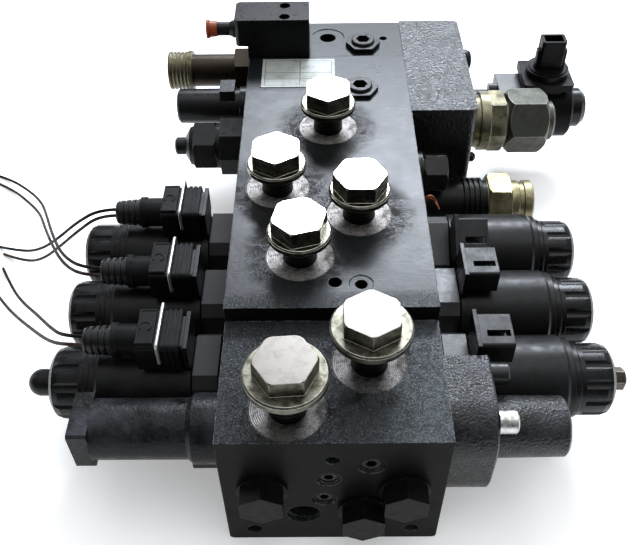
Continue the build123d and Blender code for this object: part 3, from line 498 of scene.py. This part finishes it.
FINISHES = {
    "block": painted_block(),
    "block_sides": painted_sides(),
    "cast": casting("cast_housing", 1.5, 0.55, 0.8),
    "cast_cover": casting("cast_cover", 1.05, 0.45, 0.8),
    "cast_fine": casting("cast_balancer", 1.2, 0.16, 0.8, 0.13),
    "oxide": black_machined("black_oxide"),
    "oxide_rough": black_machined("black_oxide_rough", 0.005, 0.32, 0.18),
    "manifold": black_machined("manifold_black", 0.004, 0.30, 0.09, 0.4),
    "front": black_machined("front_plug_black", 0.003, 0.36, 0.08, 0.15),
    "plug": bright_plug(),
    "bright": bright_steel("bright_steel"),
    "bolt": cover_bolt(),
    "copper": wire_skin("copper", (0.10, 0.030, 0.015), (0.42, 0.15, 0.08)),
    "spring": bright_steel("spring_steel", 0.48, 0.26),
    "plated": plated_block(),
    "zinc": olive_zinc("olive_zinc", (0.20, 0.185, 0.125), (0.065, 0.060, 0.038), 0.36, 0.85),
    "union": olive_zinc("union_zinc", (0.075, 0.078, 0.066), (0.05, 0.051, 0.043), 0.46, 0.3),
    "pin": olive_zinc("pin_brown", (0.09, 0.075, 0.055), (0.02, 0.018, 0.014)),
    "fitting": two_tone(
        "fitting_two_tone", 0.0985, (0.010, 0.010, 0.009), (0.25, 0.225, 0.13), (0.12, 0.105, 0.055),
    ),
    "hose_end": two_tone(
        "hose_end_two_tone", -0.0925, (0.024, 0.018, 0.012), (0.095, 0.082, 0.040), (0.030, 0.025, 0.014),
    ),
    "coil": moulded("coil_plastic", 0.003, 0.36, 0.8, 0.03, 0.3, 0.20),
    "tower": moulded("tower_plastic", 0.003, 0.42, 0.8, 0.03, 0.2, 0.07),
    "nut": moulded("nut_plastic", 0.0025, 0.26, 1.0, 0.02, 0.15, 0.20),
    "connector": moulded("connector_plastic", 0.0035, 0.44, 0.7, 0.03, 0.18, 0.09, tint=-0.03),
    "rubber": moulded("black_rubber", 0.004, 0.36, 0.9, 0.03, 0.3, 0.25, edge_mm=0.3),
    "dome": moulded("dome_rubber", 0.004, 0.30, 0.9, 0.02, 0.15, 0.16, edge_mm=0.3),
    "red": moulded("red_plastic", 0.0, 0.38, 0.8, 0.03, 0.1, 0.30, edge_mm=0.3, colour=(0.30, 0.055, 0.012)),
    "label": label_foil(),
    "ring": machined_ring("spotface_steel", 0.26, 0.10),
    "ring_dark": machined_ring("spotface_grimy", 0.13, 0.045),
    "wire_black": wire_skin("wire_black", (0.004, 0.004, 0.004), (0.010, 0.008, 0.007)),
    "wire_brown": wire_skin("wire_brown", (0.012, 0.007, 0.005), (0.050, 0.030, 0.022)),
}

USES = {
    "block": ["valve_body"],
    "cast": ["inlet_housing"],
    "cast_cover": ["front_cover"],
    "cast_fine": ["balancer_housing"],
    "oxide": [
        "socket_plugs", "cap_screws", "side_plug", "bleed_nipple", "side_cartridge", "relief_adjuster",
    ],
    "front": ["front_plugs"],
    "oxide_rough": ["relief_valve"],
    "manifold": ["manifold_block"],
    "plug": ["port_plugs"],
    "bright": [
        "spool_1", "spool_2", "spool_3", "armatures_1", "armatures_2", "armatures_3", "balancer_piston",
        "relief_poppet", "cartridge_armature",
    ],
    "bolt": ["cover_bolts"],
    "pin": ["override_pin"],
    "spring": ["centring_springs_1", "centring_springs_2", "centring_springs_3", "balancer_spring"],
    "plated": ["solenoid_tubes", "cartridge_valve"],
    "zinc": ["outlet_adapter"],
    "fitting": ["pressure_fitting"],
    "hose_end": ["side_fitting"],
    "union": ["union_nut"],
    "coil": [f"coil_{side}_{k}" for side in ("left", "right") for k in (1, 2, 3)],
    "tower": ["cartridge_coil"],
    "nut": ["coil_nuts", "cartridge_nut"],
    "connector": ["cable_plug_1", "cable_plug_2", "cable_plug_3"],
    "rubber": ["plug_boots"],
    "dome": ["override_dome"],
    "red": ["dust_plug"],
    "label": ["label_plate"],
}


def set_finish(thing, finish):
    thing.data.materials.clear()
    thing.data.materials.append(FINISHES[finish])


for finish_name, members in USES.items():
    for member in members:
        set_finish(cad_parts[member], finish_name)

# The upright faces of the body take the second finish.
body_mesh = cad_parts["valve_body"].data
body_mesh.materials.append(FINISHES["block_sides"])
for face in body_mesh.polygons:
    face.material_index = 1 if abs(face.normal.z) < 0.5 else 0


# ---------------------------------------------------------------- building pieces
def add_mesh(name, build, finish, at=(0, 0, 0)):
    """Runs build(bm) in the piece's own coordinates and lets the piece ride on the housing."""
    bm = bmesh.new()
    build(bm)
    bmesh.ops.recalc_face_normals(bm, faces=bm.faces)
    mesh = bpy.data.meshes.new(name)
    bm.to_mesh(mesh)
    bm.free()
    thing = bpy.data.objects.new(name, mesh)
    thing.location = at
    bpy.context.scene.collection.objects.link(thing)
    set_finish(thing, finish)
    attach(thing, HOUSING)


# ---------------------------------------------------------------- machined ring round each port
RING_INNER, RING_OUTER = 8.4 * MM, 16.95 * MM
RING_HEIGHT = 0.06 * MM
RING_DEPTH = 0.4 * MM     # the rings lie at the bottom of the spotfaces, this far under the top


def flat_ring(inner, outer, height, count=72):
    def build(bm):
        rows = []
        for radius, z in ((inner, 0), (inner, height), (outer, height), (outer, 0)):
            rows.append([
                bm.verts.new((radius * math.cos(a), radius * math.sin(a), z))
                for a in (2 * math.pi * k / count for k in range(count))
            ])
        for low, high in zip(rows, rows[1:] + rows[:1]):
            for k in range(count):
                n = (k + 1) % count
                bm.faces.new((low[k], low[n], high[n], high[k]))
    return build


for k, (x, y, z) in enumerate(PORTS):
    ring_finish = "ring_dark" if z == STEP_TOP else "ring"
    ring = flat_ring(RING_INNER, RING_OUTER, RING_HEIGHT)
    add_mesh(f"spotface_{k + 1}", ring, ring_finish, at=(x, y, z - RING_DEPTH))


# ---------------------------------------------------------------- moulded marks on the cable plugs
def arc_ring(centre, middle, half, thickness, start, end, count=28):
    """Flat raised arc, open at both ends: angles in degrees about +Z."""
    def build(bm):
        rows = []
        for k in range(count + 1):
            a = math.radians(start + (end - start) * k / count)
            across = Vector((math.cos(a), math.sin(a), 0))
            low, high = across * (middle - half), across * (middle + half)
            rise = Vector((0, 0, thickness))
            rows.append([bm.verts.new(Vector(centre) + p) for p in (low, low + rise, high + rise, high)])
        for one, two in zip(rows, rows[1:]):
            for k in range(4):
                bm.faces.new((one[k], one[(k + 1) % 4], two[(k + 1) % 4], two[k]))
        bm.faces.new(rows[0])
        bm.faces.new(rows[-1])
    return build


def boxes(*spans):
    """Several boxes, each given as two opposite corners."""
    def build(bm):
        for low, high in spans:
            middle = [(a + b) / 2 for a, b in zip(low, high)]
            size = [abs(b - a) for a, b in zip(low, high)]
            place = Matrix.Translation(middle) @ Matrix.Diagonal((*size, 1))
            bmesh.ops.create_cube(bm, size=1, matrix=place)
    return build


PLUG_CROWN = SPOOL_Z + 43.0 * MM          # top of a cable plug
SINK = 0.1 * MM                           # marks start this far inside the plug's top
MARK_X = -0.0862
MARK_RADIUS, MARK_HALF_WIDTH, MARK_HEIGHT = 2.7 * MM, 0.45 * MM, 0.45 * MM
FRAME_X = (-0.0898, -0.0822)              # outer and inner end of the raised frame
FRAME_BAR = 0.7 * MM                      # width of its outer bar
FRAME_HALF = (9.4 * MM, 10.2 * MM)        # inside and outside of its long bars, from the plug's middle

for k, y in SPOOL_Y.items():
    low_z, high_z = PLUG_CROWN - SINK, PLUG_CROWN + 0.3 * MM
    inside, outside = FRAME_HALF
    mark = arc_ring((MARK_X, y, low_z), MARK_RADIUS, MARK_HALF_WIDTH, MARK_HEIGHT, -60, 220)
    plug_frame = boxes(
        ((FRAME_X[0], y - outside, low_z), (FRAME_X[1], y - inside, high_z)),
        ((FRAME_X[0], y + inside, low_z), (FRAME_X[1], y + outside, high_z)),
        ((FRAME_X[0], y - inside, low_z), (FRAME_X[0] + FRAME_BAR, y + inside, high_z)),
    )
    add_mesh(f"plug_mark_{k}", mark, "connector")
    add_mesh(f"plug_frame_{k}", plug_frame, "connector")


# ---------------------------------------------------------------- strands and wires
def add_tubes(name, routes, radius, finish, steps, sides):
    """Round strands along smooth routes, as one curve that rides on the housing."""
    curve = bpy.data.curves.new(name, "CURVE")
    curve.dimensions = "3D"
    for route in routes:
        spline = curve.splines.new("NURBS")
        spline.points.add(len(route) - 1)
        for point, place in zip(spline.points, route):
            point.co = (*place, 1)
        spline.order_u = 3
        spline.use_endpoint_u = True
        spline.resolution_u = steps
    curve.bevel_depth = radius
    curve.bevel_resolution = sides
    curve.use_fill_caps = True
    curve.materials.append(FINISHES[finish])
    thing = bpy.data.objects.new(name, curve)
    bpy.context.scene.collection.objects.link(thing)
    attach(thing, HOUSING)
    return thing


def make_strands():
    """A frayed end of bare copper on the base behind the right rear coil."""
    routes = []
    for k, rise in enumerate((0.0, 2.2, 0.8, 3.0, 1.2)):
        spread, lift = (k - 2) * 0.9 * MM, rise * MM
        routes.append((
            (0.0516, 0.0065 + spread, 0.0596), (0.0545, 0.006 + spread, 0.0655 + lift),
            (0.0590, 0.007 - spread, 0.0690 + lift), (0.0625, 0.006 + spread, 0.0650),
            (0.0642, 0.007, 0.0600),
        ))
    add_tubes("copper_strands", routes, 0.55 * MM, "copper", 8, 3)


make_strands()

# Each wire's length and route, from its boot to its bare end on the ground
ROUTES = {
    "wire_1a": (0.1437, [
        (-0.116, -0.0115, 0.078), (-0.127, -0.0115, 0.078), (-0.143, -0.0075, 0.065), (-0.161, 0.003, 0.043),
        (-0.180, 0.016, 0.021), (-0.199, 0.029, 0.006), (-0.219, 0.039, 0.00095),
    ]),
    "wire_1b": (0.1395, [
        (-0.116, -0.0165, 0.078), (-0.126, -0.0165, 0.078), (-0.141, -0.013, 0.064), (-0.159, -0.003, 0.042),
        (-0.178, 0.009, 0.019), (-0.196, 0.021, 0.005), (-0.214, 0.032, 0.00095),
    ]),
    "wire_2a": (0.2402, [
        (-0.116, -0.0565, 0.078), (-0.127, -0.0565, 0.078), (-0.143, -0.040, 0.071), (-0.161, -0.004, 0.053),
        (-0.178, 0.034, 0.033), (-0.193, 0.066, 0.016), (-0.211, 0.092, 0.0045), (-0.231, 0.110, 0.00095),
        (-0.246, 0.116, 0.00095),
    ]),
    "wire_2b": (0.2348, [
        (-0.116, -0.0615, 0.078), (-0.126, -0.0615, 0.078), (-0.142, -0.044, 0.068), (-0.161, -0.009, 0.050),
        (-0.179, 0.028, 0.030), (-0.193, 0.058, 0.013), (-0.209, 0.081, 0.0035), (-0.227, 0.099, 0.00095),
        (-0.243, 0.108, 0.00095),
    ]),
    "wire_3a": (0.1777, [
        (-0.116, -0.1015, 0.078), (-0.127, -0.1015, 0.078), (-0.141, -0.084, 0.064), (-0.160, -0.056, 0.041),
        (-0.181, -0.028, 0.020), (-0.198, -0.003, 0.005), (-0.211, 0.019, 0.00095),
    ]),
    "wire_3b": (0.1775, [
        (-0.116, -0.1065, 0.078), (-0.126, -0.1065, 0.078), (-0.141, -0.091, 0.062), (-0.162, -0.064, 0.039),
        (-0.184, -0.036, 0.017), (-0.202, -0.013, 0.004), (-0.218, 0.008, 0.00095),
    ]),
}
WIRE_DIAMETER = 1.8 * MM


def make_wire(name, route):
    skin = "wire_black" if name.endswith("a") else "wire_brown"
    thing = add_tubes(name + "_skin", [route], WIRE_DIAMETER / 2, skin, 16, 4)
    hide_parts(name)


for wire_name, (wire_length, wire_route) in ROUTES.items():
    make_wire(wire_name, wire_route)


# ---------------------------------------------------------------- studio
def make_floor():
    half = 4.0
    mesh = bpy.data.meshes.new("floor")
    corners = [(-half, -half, 0), (half, -half, 0), (half, half, 0), (-half, half, 0)]
    mesh.from_pydata(corners, [], [(0, 1, 2, 3)])
    floor = bpy.data.objects.new("floor", mesh)
    bpy.context.scene.collection.objects.link(floor)
    s = Shade("floor")
    s.set(Base_Color=(0.92, 0.92, 0.92, 1), Roughness=0.9, Specular_IOR_Level=0.2,
          Emission_Color=(1, 1, 1, 1), Emission_Strength=0.30)
    mesh.materials.append(s.material)


def make_world():
    """A soft sky, brightest above and a little to the rear right."""
    world = bpy.data.worlds.new("studio")
    world.use_nodes = True
    tree = world.node_tree
    background = tree.nodes["Background"]
    direction = tree.nodes.new("ShaderNodeTexCoord").outputs["Generated"]
    slope = tree.nodes.new("ShaderNodeVectorMath")
    slope.operation = "DOT_PRODUCT"
    slope.inputs[1].default_value = (0.24, 0.34, 0.91)
    tree.links.new(direction, slope.inputs[0])
    glow = tree.nodes.new("ShaderNodeMapRange")
    glow.interpolation_type = "SMOOTHSTEP"
    for socket, value in (("From Min", 0.0), ("From Max", 0.95), ("To Min", 0.10), ("To Max", 0.95)):
        glow.inputs[socket].default_value = value
    tree.links.new(slope.outputs["Value"], glow.inputs["Value"])
    tree.links.new(glow.outputs[0], background.inputs["Strength"])
    background.inputs["Color"].default_value = (0.93, 0.96, 1.0, 1)
    bpy.context.scene.world = world


def add_light(name, location, target, size, power, colour=(1, 1, 1)):
    data = bpy.data.lights.new(name, "AREA")
    data.shape = "RECTANGLE"
    data.size, data.size_y = size
    data.energy = power
    data.color = colour
    light = bpy.data.objects.new(name, data)
    light.location = location
    light.rotation_mode = "QUATERNION"
    light.rotation_quaternion = (Vector(target) - Vector(location)).to_track_quat("-Z", "Y")
    bpy.context.scene.collection.objects.link(light)


make_floor()
make_world()
# The rear window gives the upward faces their sheen, and the others fill in.
add_light("rear_window", (0.32, 1.65, 1.54), (0, 0, 0.06), (1.25, 0.50), 84, (0.84, 0.90, 1.0))
add_light("front_panel", (0.30, 0.93, 1.42), (0.02, -0.12, 0.1), (0.5, 0.28), 1.2, (0.86, 0.93, 1.0))
add_light("top_panel", (0.2, 0.1, 2.0), (0, 0, 0), (1.6, 1.4), 14)
add_light("left_panel", (-1.7, 0.6, 0.8), (0, 0, 0.05), (0.7, 0.6), 4)
bpy.context.scene.view_settings.view_transform = "Standard"
